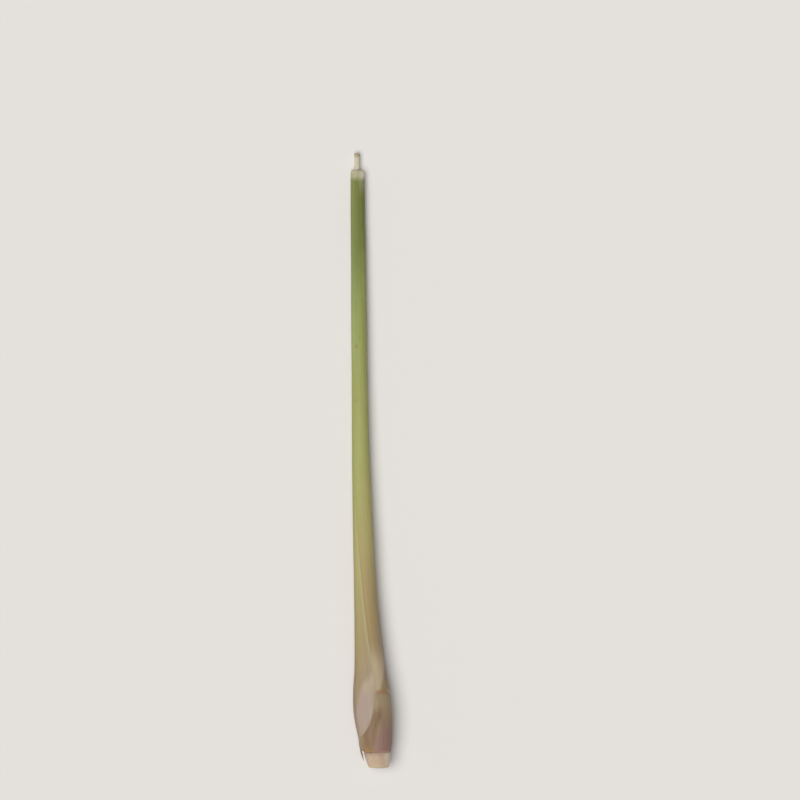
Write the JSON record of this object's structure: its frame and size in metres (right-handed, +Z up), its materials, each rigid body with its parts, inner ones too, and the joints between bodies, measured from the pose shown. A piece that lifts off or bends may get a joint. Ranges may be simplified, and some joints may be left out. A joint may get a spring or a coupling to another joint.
{
  "type": "lemongrass stalk",
  "caption": "Cut lemongrass stalk lying down: a long green rolled sheath, a swollen pale and purple bulb, a flat cut root end and a thin heart at the cut top.",
  "frame": {"origin": "bottom centre of the bounding box, on the surface that the stalk lies on", "axes": "+Y along the stalk from its cut root end to its cut top, +Z up, +X to the right of the stalk seen from above with its top away from the viewer"},
  "size_m": [0.0212, 0.3076, 0.0179],
  "materials": {
    "outer_sheath": "waxy ribbed green leaf base, tan towards the bulb",
    "inner_sheath": "moist purple-brown leaf base",
    "culm_base": "matt pale cut stem",
    "heart": "satin pale cream leaf roll"
  },
  "bodies": {
    "root": {"outer_sheath": "outer_sheath", "inner_sheath": "inner_sheath", "culm_base": "culm_base", "heart": "heart"}
  },
  "joints": []
}
